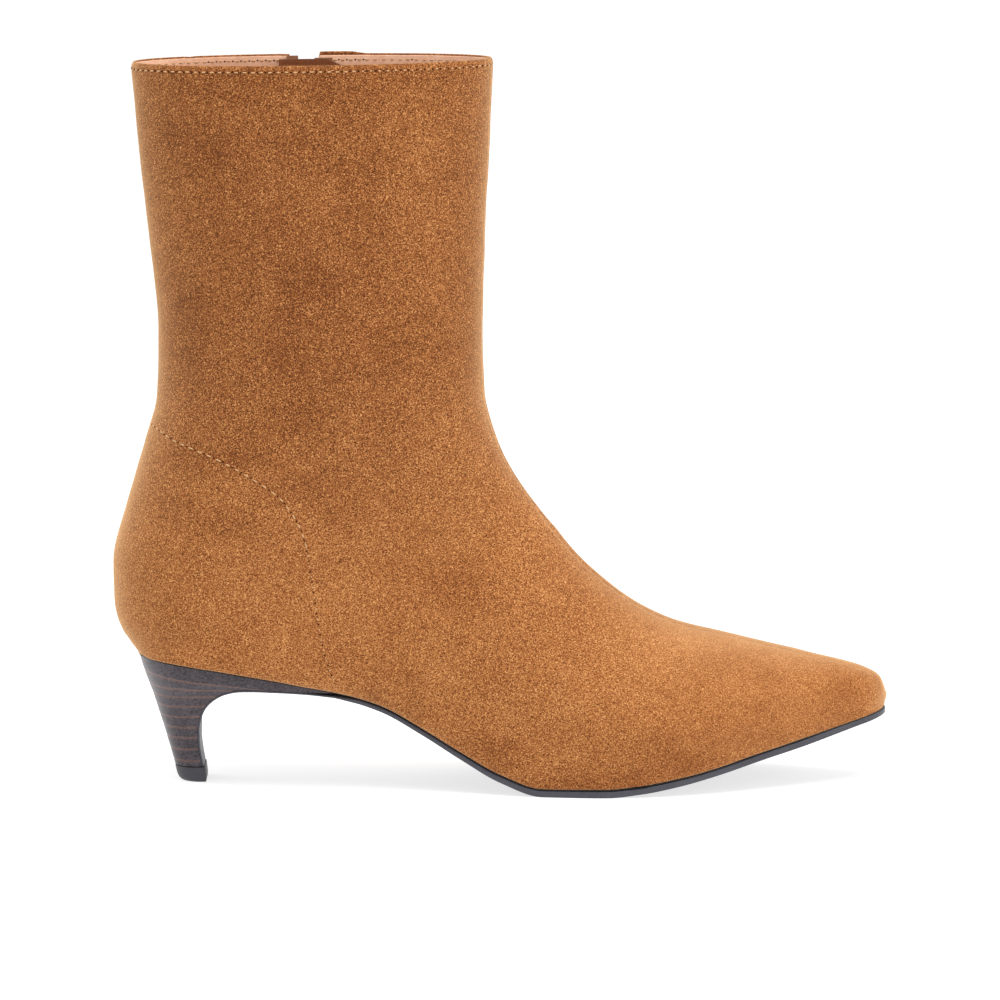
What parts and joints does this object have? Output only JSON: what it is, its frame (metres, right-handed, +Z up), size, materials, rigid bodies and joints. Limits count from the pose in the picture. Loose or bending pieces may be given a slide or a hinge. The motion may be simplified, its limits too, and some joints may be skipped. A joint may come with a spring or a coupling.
{
  "type": "zip ankle boot",
  "caption": "Suede ankle boot for the right foot with a pointed toe, a slim stacked heel and a zip up the inner side of the shaft.",
  "frame": {"origin": "on the floor, under the middle of the boot's bounding box", "axes": "+X from the heel to the toe, +Y to the inner side of the foot, +Z up"},
  "size_m": [0.271, 0.0814, 0.2535],
  "materials": {
    "suede": "tan suede with a short nap",
    "sole": "dark composite, edge trimmed and inked",
    "stacked_heel": "dark stacked layers, waxed",
    "lift_rubber": "matt dark rubber",
    "lining": "smooth pinkish tan leather",
    "zip_coil": "brown nylon coil",
    "zip_tape": "brown woven tape",
    "guard": "dark brown woven flap",
    "metal": "plated zip metal"
  },
  "bodies": {
    "boot": {"upper": "suede", "outsole": "sole", "heel": "stacked_heel", "top_piece": "lift_rubber", "insole": "lining", "zip_coil": "zip_coil", "zip_tape": "zip_tape", "zip_guard": "guard", "zip_slider": "metal"},
    "pull_tab": {"zip_puller": "metal"}
  },
  "joints": [
    {"name": "pull_tab_hinge", "type": "hinge", "parent": "boot", "child": "pull_tab", "pos_m": [-0.07062, 0.02977, 0.24116], "axis": [0.9997, 0.009, 0.0215], "range_deg": [0, 170]}
  ]
}
